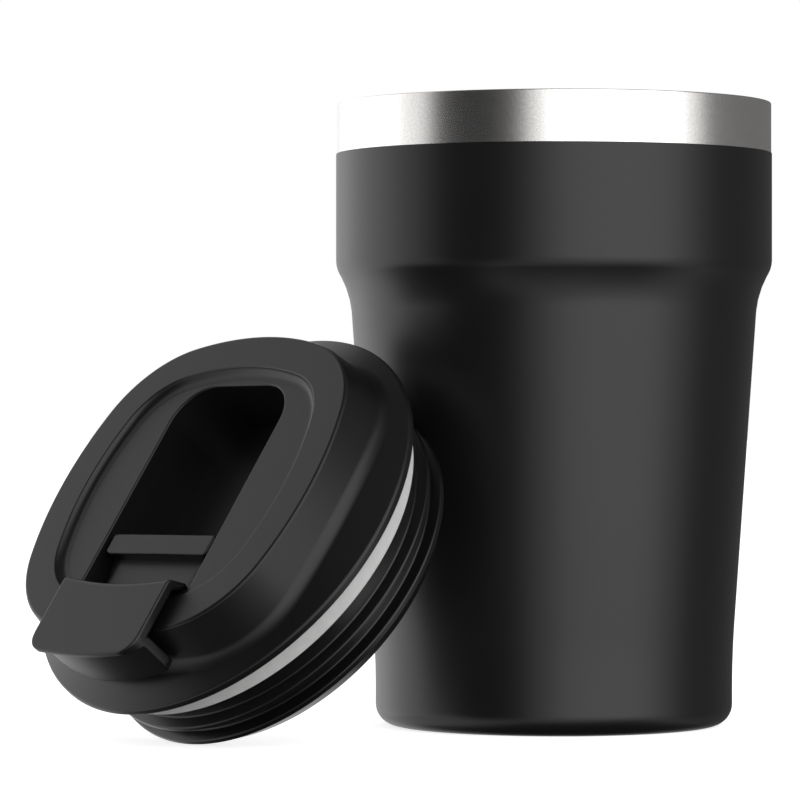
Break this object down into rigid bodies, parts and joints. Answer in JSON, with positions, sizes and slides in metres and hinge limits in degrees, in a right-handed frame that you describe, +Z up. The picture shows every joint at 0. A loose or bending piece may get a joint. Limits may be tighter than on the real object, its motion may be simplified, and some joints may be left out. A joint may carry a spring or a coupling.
{
  "type": "insulated travel mug",
  "caption": "Double-walled steel travel mug with a black coat and a bare steel rim, and a drink-through plug lid with a hinged flap, taken off and leaning on the mug.",
  "frame": {"origin": "middle of the mug's foot, on the surface it stands on", "axes": "+Z up along the mug's axis, +X to the right and +Y away from the viewer, with the lid leaning at the left front"},
  "size_m": [0.1475, 0.1262, 0.1253],
  "materials": {
    "coat": "fine matt black powder coat",
    "steel": "brushed around the axis",
    "foil": "bright copper foil",
    "getter": "pressed matt pellet",
    "solder_glass": "fused bead",
    "lid_plastic": "fine moulded texture",
    "plug_plastic": "satin moulding",
    "gasket_silicone": "matt light grey silicone",
    "seal_silicone": "matt dark silicone",
    "pin_steel": "ground pin"
  },
  "bodies": {
    "mug": {"outer_shell": "coat", "inner_liner": "steel", "liner_bottom": "steel", "radiation_foil": "foil", "getter_pellet": "getter", "shell_bottom": "steel", "vacuum_seal": "solder_glass", "base_cover": "coat"},
    "lid": {"lid_cap": "lid_plastic", "lid_tray": "lid_plastic", "lid_plug": "plug_plastic", "lid_gasket": "gasket_silicone", "hinge_pin": "pin_steel"},
    "flap": {"drink_flap": "lid_plastic", "sip_seal": "seal_silicone"}
  },
  "joints": [
    {"name": "lid_lift", "type": "slide", "parent": "mug", "child": "lid", "axis": [-0.5696, -0.5598, 0.6018], "range_m": [0, 0.12]},
    {"name": "flap_hinge", "type": "hinge", "parent": "lid", "child": "flap", "pos_m": [-0.07513, -0.05372, 0.03697], "axis": [-0.7076, 0.7065, -0.0125], "range_deg": [0, 180]}
  ]
}
